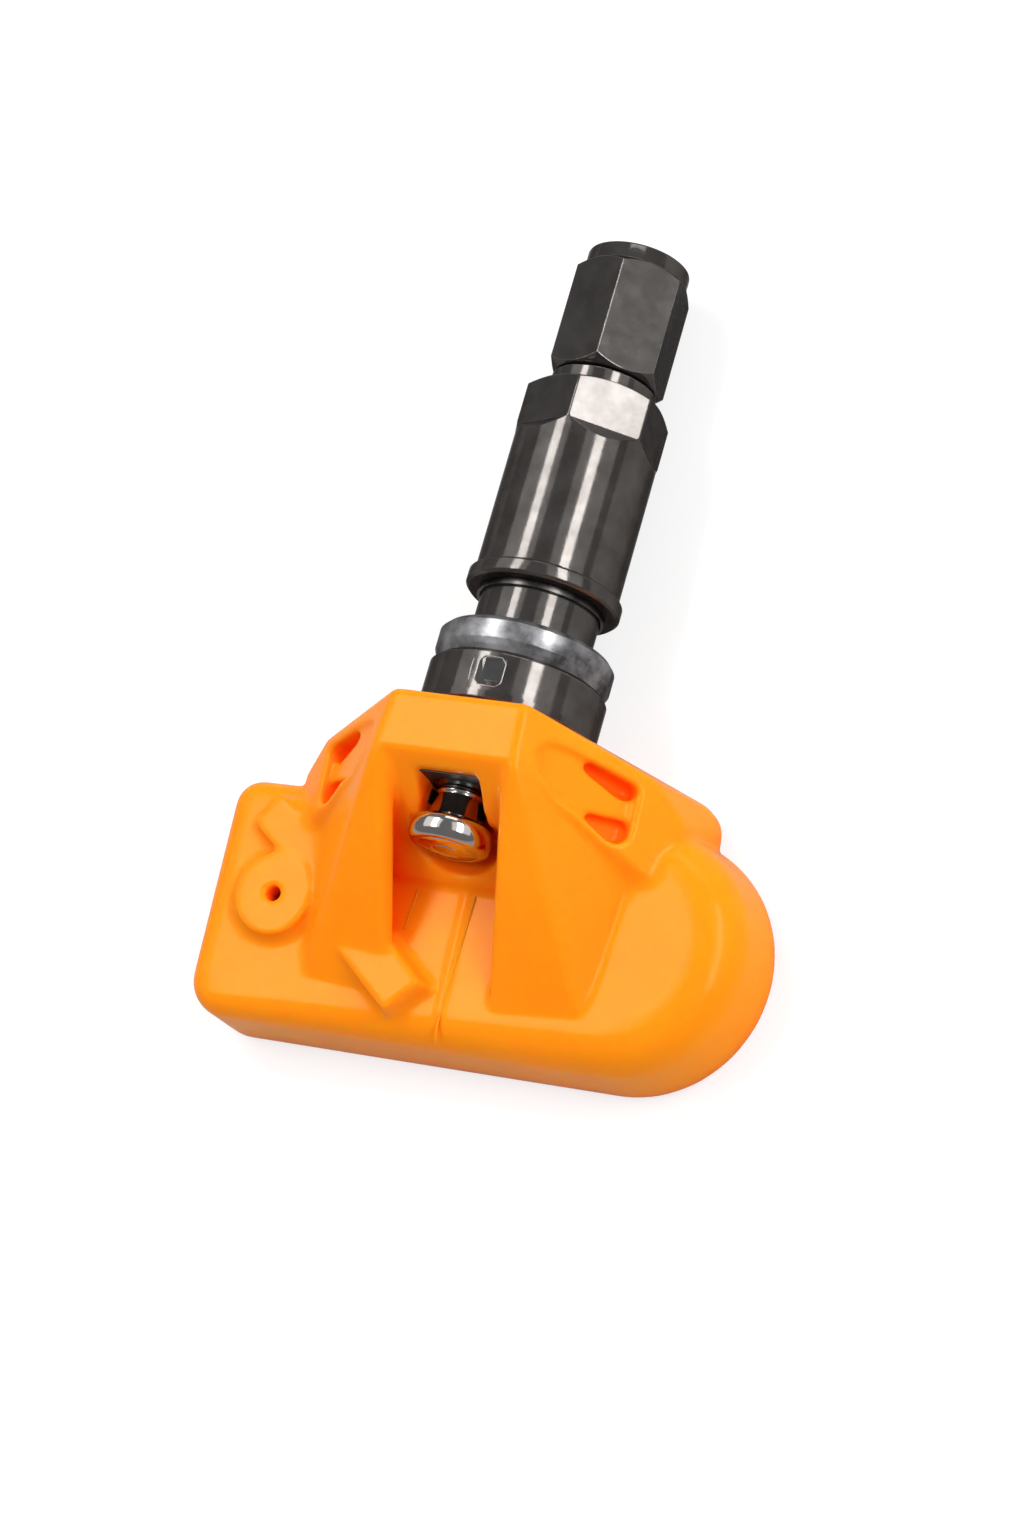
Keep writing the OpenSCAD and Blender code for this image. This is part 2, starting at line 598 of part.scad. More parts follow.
module valve_cap() color(black) on_valve() translate([0, 0, cap_y]) difference() {
    union() {
        turned_hex(cap_af, cap_l, cap_af / 2 - 0.1, 35, cap_turn);
        cylinder(d = collar_d, h = cap_l + collar_h - 0.3, $fn = fine);
        translate([0, 0, cap_l + collar_h - 0.3])
            cylinder(d1 = collar_d, d2 = collar_d - 0.6, h = 0.3, $fn = fine);
    }
    translate([0, 0, -1])
        cylinder(r = mouth_d / 2 + fit, h = mouth_h + 0.94 - cap_y + 1, $fn = fine);
}

housing();
back_cover();
circuit_board();
coin_cell();
battery_tab_top();
battery_tab_bottom();
pressure_sensor();
port_gasket();
microcontroller();
crystal();
capacitors();
coil_core();
coil_winding();
antenna();
valve_stem();
rim_seal();
ball_screw();
core_plug();
core_barrel();
core_gasket();
core_pin();
core_seat_seal();
core_spring();
slip_ring();
clamp_nut();
cap_seal();
valve_cap();
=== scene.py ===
import json
import math

import bmesh
import bpy
import numpy as np
import openvdb
from mathutils import Matrix, Vector


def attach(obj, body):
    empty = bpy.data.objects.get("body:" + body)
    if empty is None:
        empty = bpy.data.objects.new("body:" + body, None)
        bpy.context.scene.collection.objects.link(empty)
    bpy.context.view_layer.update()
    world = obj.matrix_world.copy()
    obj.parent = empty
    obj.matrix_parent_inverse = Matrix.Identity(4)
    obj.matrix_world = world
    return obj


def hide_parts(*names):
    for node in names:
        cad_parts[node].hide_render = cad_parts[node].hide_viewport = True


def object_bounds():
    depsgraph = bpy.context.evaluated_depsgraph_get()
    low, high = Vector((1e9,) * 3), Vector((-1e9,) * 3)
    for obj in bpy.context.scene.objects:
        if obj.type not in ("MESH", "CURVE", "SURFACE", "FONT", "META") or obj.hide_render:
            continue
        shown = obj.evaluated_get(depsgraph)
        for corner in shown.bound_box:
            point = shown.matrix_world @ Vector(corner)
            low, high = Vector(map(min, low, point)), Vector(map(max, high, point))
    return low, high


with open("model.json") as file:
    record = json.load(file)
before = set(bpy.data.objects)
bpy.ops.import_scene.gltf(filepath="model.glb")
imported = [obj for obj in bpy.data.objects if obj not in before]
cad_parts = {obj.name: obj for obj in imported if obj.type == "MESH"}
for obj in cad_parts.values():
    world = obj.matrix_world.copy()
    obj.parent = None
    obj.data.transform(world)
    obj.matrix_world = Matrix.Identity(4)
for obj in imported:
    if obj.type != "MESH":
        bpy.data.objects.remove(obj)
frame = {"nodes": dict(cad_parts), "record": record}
cad_box = [list(map(float, c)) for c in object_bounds()]
scene = bpy.context.scene
scene.view_settings.view_transform = "Standard"

# Attitude of the part: the valve leans from the housing's back, and the whole part rests tilted
LEAN = math.radians(6)
PITCH = math.radians(4.767617)
REST = LEAN - PITCH
STEM_BASE = 8.3
AXIS_HEIGHT = 9.0
RIM_SEAT = Vector((0, STEM_BASE * math.cos(LEAN), AXIS_HEIGHT - STEM_BASE * math.sin(LEAN)))
TILT = Matrix.Rotation(REST, 3, "X")


def from_housing(p):
    """A point in the housing's own coordinates, in mm, to the frame, in metres."""
    return TILT @ ((Vector(p) - RIM_SEAT) / 1000)


# Camera, in housing coordinates: its place in mm, and its backward and rightward directions
CAMERA_PLACE = (168.87, -84.23, 352.70)
CAMERA_BACK = Vector((0.4282, -0.2076, 0.8795))
CAMERA_RIGHT = Vector((0.8959, 0.2246, -0.3832))
FOCAL_LENGTH = 101.15
cam_data = bpy.data.cameras.new("camera")
cam_data.lens = FOCAL_LENGTH
cam_data.sensor_width = 36
cam_data.clip_start = 0.01
cam = bpy.data.objects.new("camera", cam_data)
scene.collection.objects.link(cam)
back = (TILT @ CAMERA_BACK).normalized()
right = TILT @ CAMERA_RIGHT
right = (right - right.dot(back) * back).normalized()
turn = Matrix((right, back.cross(right), back)).transposed().to_4x4()
cam.matrix_world = Matrix.Translation(from_housing(CAMERA_PLACE)) @ turn
scene.camera = cam


# Level sets, in mm: the moulded shell takes its soft edges from them
VOXEL = 0.17
# Half width of the band round a surface, in voxels, and free space round the mould's box, in mm
BAND = 10.0
MARGIN = 2.4
GRID_XF = openvdb.createLinearTransform(voxelSize=VOXEL)


def baked(ob):
    """Bakes an object's modifiers into its mesh."""
    me = bpy.data.meshes.new_from_object(ob.evaluated_get(bpy.context.evaluated_depsgraph_get()))
    ob.modifiers.clear()
    ob.data = me
    return ob


def mesh_arrays(ob):
    me = ob.data
    co = np.empty(len(me.vertices) * 3)
    me.vertices.foreach_get("co", co)
    me.calc_loop_triangles()
    tri = np.empty(len(me.loop_triangles) * 3, np.int32)
    me.loop_triangles.foreach_get("vertices", tri)
    return co.reshape(-1, 3) * 1000, tri.reshape(-1, 3)


def level_set(co, tri):
    return openvdb.FloatGrid.createLevelSetFromPolygons(
        co, triangles=tri.astype(np.uint32), transform=GRID_XF, halfWidth=BAND)


def surface(grid, iso):
    p, tri, quad = grid.convertToPolygons(isovalue=iso, adaptivity=0.0)
    faces = [np.asarray(tri)[:, ::-1]] if len(tri) else []
    if len(quad):
        quad = np.asarray(quad)
        faces += [quad[:, [2, 1, 0]], quad[:, [3, 2, 0]]]
    return np.asarray(p), np.concatenate(faces)


def there_and_back(grid, distance):
    """Moves the surface by a distance and back: out and in fills corners, in and out rounds edges."""
    moved = level_set(*surface(grid, distance))
    return level_set(*surface(moved, -distance))


def index_box(co):
    low = np.floor((co.min(0) - MARGIN) / VOXEL).astype(int)
    high = np.ceil((co.max(0) + MARGIN) / VOXEL).astype(int)
    return low, tuple(high - low + 1)


def dense(grid, low, shape):
    a = np.empty(shape, np.float32)
    grid.copyToArray(a, ijk=tuple(int(i) for i in low))
    return a


def from_dense(a, low):
    g = openvdb.FloatGrid(BAND * VOXEL)
    g.copyFromArray(a, ijk=tuple(int(i) for i in low))
    g.transform = GRID_XF
    g.gridClass = openvdb.GridClass.LEVEL_SET
    return g


def soften(a):
    """Averages each voxel with its two neighbours, along each axis in turn."""
    for ax in range(3):
        a = 0.5 * a + 0.25 * (np.roll(a, 1, ax) + np.roll(a, -1, ax))
    return a


def to_object(name, grid):
    p, tri, quad = grid.convertToPolygons(isovalue=0.0, adaptivity=0.0)
    tri, quad = np.asarray(tri).reshape(-1, 3), np.asarray(quad).reshape(-1, 4)
    me = bpy.data.meshes.new(name)
    me.vertices.add(len(p))
    me.vertices.foreach_set("co", (np.asarray(p) / 1000).astype(np.float32).ravel())
    loops = np.concatenate([tri[:, ::-1].ravel(), quad[:, ::-1].ravel()]).astype(np.int32)
    me.loops.add(len(loops))
    me.loops.foreach_set("vertex_index", loops)
    starts = np.concatenate([np.arange(len(tri)) * 3, len(tri) * 3 + np.arange(len(quad)) * 4])
    me.polygons.add(len(starts))
    me.polygons.foreach_set("loop_start", starts.astype(np.int32))
    me.polygons.foreach_set("use_smooth", np.ones(len(starts), bool))
    me.update(calc_edges=True)
    me.validate()
    ob = bpy.data.objects.new(name, me)
    scene.collection.objects.link(ob)
    return ob


def housing_points(low, shape):
    """Housing coordinates, in mm, of every voxel of a dense grid."""
    axes = [(low[i] + np.arange(shape[i])) * VOXEL for i in range(3)]
    y, z = axes[1][:, None], axes[2][None, :]
    c, s = math.cos(REST), math.sin(REST)
    hy = y * c + z * s + RIM_SEAT.y
    hz = -y * s + z * c + RIM_SEAT.z
    return axes[0][:, None, None], hy[None], hz[None]


def near(points, a, b, radius, fade):
    """1 close to the line from a to b, falling to 0 between radius and radius + fade."""
    x, y, z = points
    d = np.subtract(b, a)
    t = ((x - a[0]) * d[0] + (y - a[1]) * d[1] + (z - a[2]) * d[2]) / np.dot(d, d)
    t = np.clip(t, 0, 1)
    r = np.sqrt((x - a[0] - t * d[0]) ** 2 + (y - a[1] - t * d[1]) ** 2 + (z - a[2] - t * d[2]) ** 2)
    u = np.clip((radius + fade - r) / fade, 0, 1)
    return (u * u * (3 - 2 * u)).astype(np.float32)


SHELL_TRIANGLES = 170000
# Radii of the moulding, in mm: inner corners, outer edges and the wide fillets of the valleys
CORNER = 0.2
EDGE = 0.22
VALLEY = 1.5
# Valleys of the moulding that run out in a wide fillet: how far from the line it reaches and
# fades, and the ends of each line in housing coordinates
VALLEY_REACH, VALLEY_FADE = 1.2, 1.8
VALLEYS = [
    ((9.2, -12.6, 14.2), (13.6, -11.9, 9.9)),
    ((14.6, -11.6, 9.6), (19.0, -9.6, 9.4)),
    ((-9.2, -12.6, 14.2), (-13.6, -11.9, 9.9)),
    ((-14.6, -11.6, 9.6), (-19.0, -10.4, 9.4)),
]


def pad_corners():
    """The raised pad at the left foot with its corners full, so that they stay crisp when rounded."""
    top = [(-10.25, -22.45), (-4.4, -27.1), (-1.5, -24.25), (-6.1, -20.4)]
    foot = [(-11.5, -22.7), (-4.4, -28.0), (-0.35, -24.4), (-5.8, -19.6)]
    co = [from_housing((x, y, z)) * 1000 for ring, z in ((foot, 8.9), (top, 11.42)) for x, y in ring]
    tri = [(0, 2, 1), (0, 3, 2), (4, 5, 6), (4, 6, 7)]
    for i in range(4):
        j = (i + 1) % 4
        tri += [(i, j, j + 4), (i, j + 4, i + 4)]
    return np.array([tuple(c) for c in co]), np.array(tri, np.int32)


def moulded_shell():
    """Housing and back cover as one moulding with soft edges and filled corners."""
    parts = [mesh_arrays(frame["nodes"][n]) for n in ("housing", "back_cover")]
    low, shape = index_box(np.concatenate([p[0] for p in parts]))
    parts.append(pad_corners())
    both = np.minimum.reduce([dense(level_set(*p), low, shape) for p in parts])
    grid = there_and_back(from_dense(both, low), CORNER)
    wide = dense(there_and_back(grid, VALLEY), low, shape)
    fine = dense(there_and_back(grid, -EDGE), low, shape)
    where = np.zeros(shape, np.float32)
    pts = housing_points(low, shape)
    for a, b in VALLEYS:
        where = np.maximum(where, near(pts, a, b, VALLEY_REACH, VALLEY_FADE))
    a = fine + (np.minimum(fine, wide) - fine) * where
    ob = to_object("moulded_shell", from_dense(soften(a), low))
    thin = ob.modifiers.new("thin", "DECIMATE")
    thin.ratio = SHELL_TRIANGLES / (2 * len(ob.data.polygons))
    return baked(ob)


shell = moulded_shell()
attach(shell, "sensor")
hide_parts("housing", "back_cover")


def mesh_object(name, verts, faces):
    me = bpy.data.meshes.new(name)
    me.from_pydata([tuple(v) for v in verts], [], faces)
    me.validate()
    ob = bpy.data.objects.new(name, me)
    scene.collection.objects.link(ob)
    return ob


def tube(name, points, radius, closed=False, sides=10):
    """A thin rounded rib through points of the frame; an open one tapers to its ends."""
    n = len(points)
    verts, faces = [], []
    for i, p in enumerate(points):
        before = points[(i - 1) % n] if closed or i else p
        after = points[(i + 1) % n] if closed or i < n - 1 else p
        along = (after - before).normalized()
        side = along.cross(Vector((0, 0, 1)))
        side = (side if side.length > 1e-3 else along.cross(Vector((1, 0, 0)))).normalized()
        over = side.cross(along)
        r = radius / 1000 * (0.25 if not closed and i in (0, n - 1) else 1)
        for k in range(sides):
            t = 2 * math.pi * k / sides
            verts.append(p + r * (math.cos(t) * side + math.sin(t) * over))
    for i in range(n if closed else n - 1):
        j = (i + 1) % n
        for k in range(sides):
            m = (k + 1) % sides
            faces.append((i * sides + k, i * sides + m, j * sides + m, j * sides + k))
    if not closed:
        faces.append(tuple(range(sides))[::-1])
        faces.append(tuple((n - 1) * sides + k for k in range(sides)))
    ob = mesh_object(name, verts, faces)
    for poly in ob.data.polygons:
        poly.use_smooth = True
    return ob


# Thin ribs on the floor of the channel, in housing coordinates
FLOOR_LINE = [
    (1.25, -15.2, 9.47), (1.2, -15.6, 9.5), (0.4, -27.3, 9.5), (0.36, -28.3, 9.36), (0.33, -29.2, 8.85)]
LEFT_LINE = [(-4.55, -15.4, 9.45), (-4.6, -15.8, 9.5), (-5.0, -19.2, 9.5), (-5.1, -19.6, 9.45)]
trim = [
    tube("floor_line", [from_housing(p) for p in FLOOR_LINE], 0.12),
    tube("floor_edge_left", [from_housing(p) for p in LEFT_LINE], 0.09),
]
for ob in trim:
    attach(ob, "sensor")


# Turned pieces, in mm: w along the valve axis from the rim seat, angles from the front toward +X
AXIS = Vector((0, math.cos(PITCH), -math.sin(PITCH)))
FRONT = Vector((0, math.sin(PITCH), math.cos(PITCH)))


def on_valve(w, r, degrees):
    a = math.radians(degrees)
    return (w * AXIS + r * (math.cos(a) * FRONT + math.sin(a) * Vector((1, 0, 0)))) / 1000


def lathe(name, profile, segments=120, forward=0.0):
    """A turned solid from a closed profile of radius and height, on an axis moved to the front."""
    verts, faces, rings = [], [], []
    for r, w in profile:
        n = 1 if r == 0 else segments
        rings.append(range(len(verts), len(verts) + n))
        verts += [on_valve(w, r, 360 * k / segments) + FRONT * forward / 1000 for k in range(n)]
    for i, ring in enumerate(rings):
        nxt = rings[(i + 1) % len(rings)]
        if len(ring) == 1 and len(nxt) == 1:
            continue
        for k in range(segments):
            m = (k + 1) % segments
            quad = (ring[k % len(ring)], nxt[k % len(nxt)], nxt[m % len(nxt)], ring[m % len(ring)])
            faces.append(tuple(dict.fromkeys(quad)))
    return mesh_object(name, verts, faces)


def flat_cutter(section, degrees, reach=9):
    """A bar whose section of radius and height is swept across the flat that faces an angle."""
    a = math.radians(degrees)
    out = math.cos(a) * FRONT + math.sin(a) * Vector((1, 0, 0))
    side = out.cross(AXIS)
    n = len(section)
    verts = [(w * AXIS + r * out + s * side) / 1000 for s in (-reach, reach) for r, w in section]
    faces = [tuple(range(n)), tuple(range(2 * n - 1, n - 1, -1))]
    faces += [(i, i + n, (i + 1) % n + n, (i + 1) % n) for i in range(n)]
    ob = mesh_object("cutter", verts, faces)
    bm = bmesh.new()
    bm.from_mesh(ob.data)
    bmesh.ops.recalc_face_normals(bm, faces=bm.faces)
    bm.to_mesh(ob.data)
    bm.free()
    return ob


# Milled edges: bevel in mm, weld distance in metres, and the angles of a flat and a sharp edge
MILLED_BEVEL = 0.07
WELD = 2e-6
FLAT_ANGLE = math.radians(0.5)
SHARP_ANGLE = math.radians(24)


def milled(ob, cutters):
    """Cuts flats, then gives every sharp edge a fine bevel, and bakes the result into the mesh."""
    for c in cutters:
        m = ob.modifiers.new("flat", "BOOLEAN")
        m.operation, m.solver, m.object = "DIFFERENCE", "EXACT", c
    baked(ob)
    for c in cutters:
        bpy.data.objects.remove(c)
    bm = bmesh.new()
    bm.from_mesh(ob.data)
    bmesh.ops.remove_doubles(bm, verts=bm.verts, dist=WELD)
    bmesh.ops.dissolve_limit(bm, angle_limit=FLAT_ANGLE, verts=bm.verts, edges=bm.edges)
    bmesh.ops.recalc_face_normals(bm, faces=bm.faces)
    bm.to_mesh(ob.data)
    bm.free()
    m = ob.modifiers.new("edge", "BEVEL")
    m.width, m.segments, m.limit_method = MILLED_BEVEL / 1000, 2, "ANGLE"
    m.angle_limit = SHARP_ANGLE
    baked(ob)
    for poly in ob.data.polygons:
        poly.use_smooth = True
    ob.data.set_sharp_from_angle(angle=SHARP_ANGLE)
    m = ob.modifiers.new("flat_shading", "WEIGHTED_NORMAL")
    m.keep_sharp, m.weight = True, 100
    return baked(ob)


def hexagon(section, corner):
    """Cutters for the six flats of a hexagon that has a corner at an angle."""
    return [flat_cutter(section, corner + 30 + 60 * k) for k in range(6)]


# Where a corner of each hexagon points, and how far its flats lie from the axis
NUT_CORNER, CAP_CORNER = 6, 11
NUT_FLAT, CAP_FLAT = 6.08, 5.0
CLEAR = 7.6
nut = lathe("turned_nut", [
    (5.75, 4.63), (7.0, 4.63), (7.3, 4.93), (7.3, 5.95), (7.18, 6.1), (6.74, 6.12), (6.74, 6.24),
    (6.8, 6.3), (6.8, 20.2), (6.98, 20.9), (6.98, 24.8), (6.0, 25.32), (5.5, 25.56), (5.08, 25.6),
    (5.08, 12.0), (5.75, 12.0)])
milled(nut, hexagon([(NUT_FLAT, 20.65), (CLEAR, 18.3), (CLEAR, 27), (NUT_FLAT, 27)], NUT_CORNER))
cap = lathe("turned_cap", [
    (3.93, 27.2), (4.85, 27.2), (5.78, 27.98), (5.78, 37.6), (5.0, 38.22), (4.92, 38.3), (4.92, 39.6),
    (4.85, 39.78), (4.68, 39.9), (0, 39.9), (0, 38.14), (3.93, 38.14)])
milled(cap, hexagon([(CAP_FLAT, 20), (CLEAR, 20), (CLEAR, 45), (CAP_FLAT, 45)], CAP_CORNER))
for ob, body, node in ((nut, "nut", "clamp_nut"), (cap, "cap", "valve_cap")):
    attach(ob, body)
    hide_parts(node)


# Ball-headed screw: bright head and cone below a dark ball, in front of the stem's axis; the ball's dark
# steel is painted shade, darker than the nickel head of the same screw
SCREW_FRONT, BALL_W = 4.5, -13.8
SCREW_SHARP = math.radians(40)


def below_ball(profile):
    return [(r, BALL_W - d) for r, d in profile]


screw_head = lathe("screw_head", below_ball([
    (0, 2.47), (2.05, 2.47), (2.26, 2.56), (2.32, 2.72), (2.26, 2.86), (2.12, 2.96), (2.14, 3.06),
    (2.72, 5.04), (2.84, 5.18), (3.36, 5.32), (3.62, 5.52), (3.80, 5.86), (3.88, 6.3), (3.87, 6.8),
    (3.74, 7.2), (3.52, 7.5), (3.26, 7.62), (2.9, 7.68), (2.82, 7.64), (2.74, 7.69), (1.5, 7.86),
    (1.42, 7.8), (1.3, 7.8), (1.22, 7.88), (0, 7.95)]), 96, SCREW_FRONT)
screw_ball = lathe("screw_ball", below_ball([
    (0, -8.4), (2.2, -8.4), (2.2, -2.3), (2.5, -2.0), (2.77, -1.6), (3.1, -0.8), (3.2, 0), (3.1, 0.8),
    (2.77, 1.6), (2.34, 2.18), (2.05, 2.3), (2.0, 2.45), (0, 2.45)]), 72, SCREW_FRONT)
for ob in (screw_head, screw_ball):
    for poly in ob.data.polygons:
        poly.use_smooth = True
    ob.data.set_sharp_from_angle(angle=SCREW_SHARP)
    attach(ob, "valve")
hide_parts("ball_screw")


def shaded_socket_plate():
    """Dark insert round the ball, seen through the window over the cone; its near-black colour is painted
    shade of the hollow round the ball.
    """
    n, hole_r, back_r, half_width, height = 48, 2.82, 3.3, 3.04, 4.0
    hole, outer = [], []
    for k in range(n):
        a = 2 * math.pi * k / n
        x, f = math.sin(a), math.cos(a)
        hole.append((hole_r * x, hole_r * f))
        reach = back_r
        if f > 0:
            reach = min(half_width / max(abs(x), 1e-6), height / f)
            reach = max(reach, half_width)
        outer.append((reach * x, reach * f))
    verts, faces = [], []
    for w in (-15.68, -15.80):
        for ring in (hole, outer):
            verts += [(w * AXIS + (SCREW_FRONT + f) * FRONT + Vector((x, 0, 0))) / 1000 for x, f in ring]
    for i in range(n):
        j = (i + 1) % n
        faces += [(i, j, n + j, n + i), (2 * n + i, 3 * n + i, 3 * n + j, 2 * n + j),
                  (n + i, n + j, 3 * n + j, 3 * n + i), (i, 2 * n + i, 2 * n + j, j)]
    return mesh_object("shaded_socket_plate", verts, faces)


def shade_sleeve():
    """Back half of a thin dark sleeve in the hollow behind the cone: a dark sheet painted as the shade of
    that hollow.
    """
    verts, faces, n = [], [], 25
    for w in (-15.8, -17.3):
        for r in (3.2, 3.3):
            verts += [on_valve(w, r, 92 + 176 * k / (n - 1)) + FRONT * SCREW_FRONT / 1000 for k in range(n)]
    for i in range(n - 1):
        j = i + 1
        faces += [(i, j, n + j, n + i), (2 * n + i, 3 * n + i, 3 * n + j, 2 * n + j),
                  (i, 2 * n + i, 2 * n + j, j), (n + i, n + j, 3 * n + j, 3 * n + i)]
    faces += [(0, n, 3 * n, 2 * n), (n - 1, 3 * n - 1, 4 * n - 1, 2 * n - 1)]
    return mesh_object("shade_sleeve", verts, faces)


# Dark pieces round the screw's ball: their near-black is painted shade in the hollow
dark_shade_pieces = [shaded_socket_plate(), shade_sleeve()]
for ob in dark_shade_pieces:
    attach(ob, "sensor")


# Recess on the base ring: middle, half size and cut corners, as height in mm and angle in degrees
RECESS = (-5.57, 7.3, 1.42, 8.8, 0.5, 3.2)
RECESS_SCRATCH = [(-4.25, -5.2), (-4.6, -5.6), (-5.4, -5.9), (-6.4, -5.5), (-7.35, -5.3)]


def octagon(w0, a0, half_w, half_a, cut_w, cut_a, r):
    """An octagon on the base ring, as points round it."""
    in_w, in_a = half_w - cut_w, half_a - cut_a
    c = [(-half_w, -in_a), (-half_w, in_a), (-in_w, half_a), (in_w, half_a),
         (half_w, in_a), (half_w, -in_a), (in_w, -half_a), (-in_w, -half_a)]
    steps = 3
    pts = []
    for (w1, a1), (w2, a2) in zip(c, c[1:] + c[:1]):
        for k in range(steps):
            t = k / steps
            pts.append(on_valve(w0 + w1 + t * (w2 - w1), r, a0 + a1 + t * (a2 - a1)))
    return pts


def recess_plate(inner_r, outer_r):
    """A plate in the outline of the recess, between two radii; its near-black is painted shade of the
    recess.
    """
    inner, outer = octagon(*RECESS, inner_r), octagon(*RECESS, outer_r)
    n = len(outer)
    faces = [tuple(range(n)), tuple(range(2 * n - 1, n - 1, -1))]
    faces += [(i, i + n, (i + 1) % n + n, (i + 1) % n) for i in range(n)]
    return mesh_object("recess_shade_plate", outer + inner, faces)


recess_edge = tube("recess_edge", octagon(*RECESS, 8.36), 0.05, closed=True, sides=6)
recess = recess_plate(8.25, 8.365)
scratch = tube("recess_scratch", [on_valve(w, 8.355, a) for w, a in RECESS_SCRATCH], 0.04, sides=6)
for ob in (recess_edge, recess, scratch):
    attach(ob, "valve")


# Shader helpers
def material(name):
    m = bpy.data.materials.new(name)
    m.use_nodes = True
    nt = m.node_tree
    return m, nt, nt.nodes["Principled BSDF"]


def coords(nt, scale=(1, 1, 1), rotation=(0, 0, 0)):
    tc = nt.nodes.new("ShaderNodeTexCoord")
    mp = nt.nodes.new("ShaderNodeMapping")
    mp.inputs["Scale"].default_value = scale
    mp.inputs["Rotation"].default_value = rotation
    nt.links.new(tc.outputs["Object"], mp.inputs["Vector"])
    return mp.outputs["Vector"]


def noise(nt, vec, scale, detail=4, rough=0.55):
    n = nt.nodes.new("ShaderNodeTexNoise")
    n.inputs["Scale"].default_value = scale
    n.inputs["Detail"].default_value = detail
    n.inputs["Roughness"].default_value = rough
    nt.links.new(vec, n.inputs["Vector"])
    return n.outputs["Fac"]


def ramp(nt, fac, stops):
    r = nt.nodes.new("ShaderNodeValToRGB")
    els = r.color_ramp.elements
    while len(els) < len(stops):
        els.new(0.5)
    for el, (p, c) in zip(els, stops):
        el.position = p
        el.color = (*c, 1)
    nt.links.new(fac, r.inputs["Fac"])
    return r.outputs["Color"]


def span(nt, fac, lo, hi, a=0.3, b=0.7):
    m = nt.nodes.new("ShaderNodeMapRange")
    m.inputs["From Min"].default_value = a
    m.inputs["From Max"].default_value = b
    m.inputs["To Min"].default_value = lo
    m.inputs["To Max"].default_value = hi
    nt.links.new(fac, m.inputs["Value"])
    return m.outputs["Result"]


def math_node(nt, op, a, b):
    m = nt.nodes.new("ShaderNodeMath")
    m.operation = op
    for entry, v in zip(m.inputs, (a, b)):
        if isinstance(v, (int, float)):
            entry.default_value = v
        else:
            nt.links.new(v, entry)
    return m.outputs["Value"]


def mix_colour(nt, fac, a, b):
    m = nt.nodes.new("ShaderNodeMix")
    m.data_type = "RGBA"
    nt.links.new(fac, m.inputs["Factor"])
    for entry, v in zip((m.inputs[6], m.inputs[7]), (a, b)):
        if isinstance(v, tuple):
            entry.default_value = (*v, 1)
        else:
            nt.links.new(v, entry)
    return m.outputs[2]


def bump(nt, bsdf, height, strength, distance, chain=None):
    b = nt.nodes.new("ShaderNodeBump")
    b.inputs["Strength"].default_value = strength
    b.inputs["Distance"].default_value = distance
    nt.links.new(height, b.inputs["Height"])
    if chain is not None:
        nt.links.new(chain, b.inputs["Normal"])
    nt.links.new(b.outputs["Normal"], bsdf.inputs["Normal"])
    return b.outputs["Normal"]


def soft_edges(nt, radius):
    """Normals rounded over the edges, and a mask that is 1 on them."""
    bv = nt.nodes.new("ShaderNodeBevel")
    bv.samples = 6
    bv.inputs["Radius"].default_value = radius
    geo = nt.nodes.new("ShaderNodeNewGeometry")
    dot = nt.nodes.new("ShaderNodeVectorMath")
    dot.operation = "DOT_PRODUCT"
    nt.links.new(bv.outputs["Normal"], dot.inputs[0])
    nt.links.new(geo.outputs["Normal"], dot.inputs[1])
    return bv.outputs["Normal"], span(nt, dot.outputs["Value"], 1.0, 0.0, 0.90, 0.995)


# Materials
def plastic_orange():
    m, nt, b = material("moulded_orange")
    v = coords(nt)
    col = ramp(nt, noise(nt, v, 60, 3), [(0.3, (1.0, 0.258, 0.005)), (0.7, (1.0, 0.282, 0.007))])
    # Painted shade and glow: in recesses, and low by the floor, ambient occlusion turns the base colour a
    # deep red-orange
    recess_occlusion = nt.nodes.new("ShaderNodeAmbientOcclusion")
    recess_occlusion.samples = 6
    recess_occlusion.inputs["Distance"].default_value = 0.006
    painted_shade_fac = span(nt, recess_occlusion.outputs["AO"], 0.0, 1.0, 0.22, 0.72)
    nt.links.new(mix_colour(nt, painted_shade_fac, (1.0, 0.085, 0.001), col), b.inputs["Base Color"])
    nt.links.new(span(nt, noise(nt, v, 900, 4), 0.15, 0.24), b.inputs["Roughness"])
    b.inputs["Specular IOR Level"].default_value = 0.16
    b.inputs["Specular Tint"].default_value = (1.0, 0.74, 0.42, 1)
    b.inputs["Subsurface Weight"].default_value = 0.5
    b.inputs["Subsurface Radius"].default_value = (1.0, 0.16, 0.02)
    b.inputs["Subsurface Scale"].default_value = 0.003
    n1 = bump(nt, b, noise(nt, v, 2600, 3), 0.04, 0.0001)
    bump(nt, b, noise(nt, v, 240, 2), 0.04, 0.0004, n1)
    return m


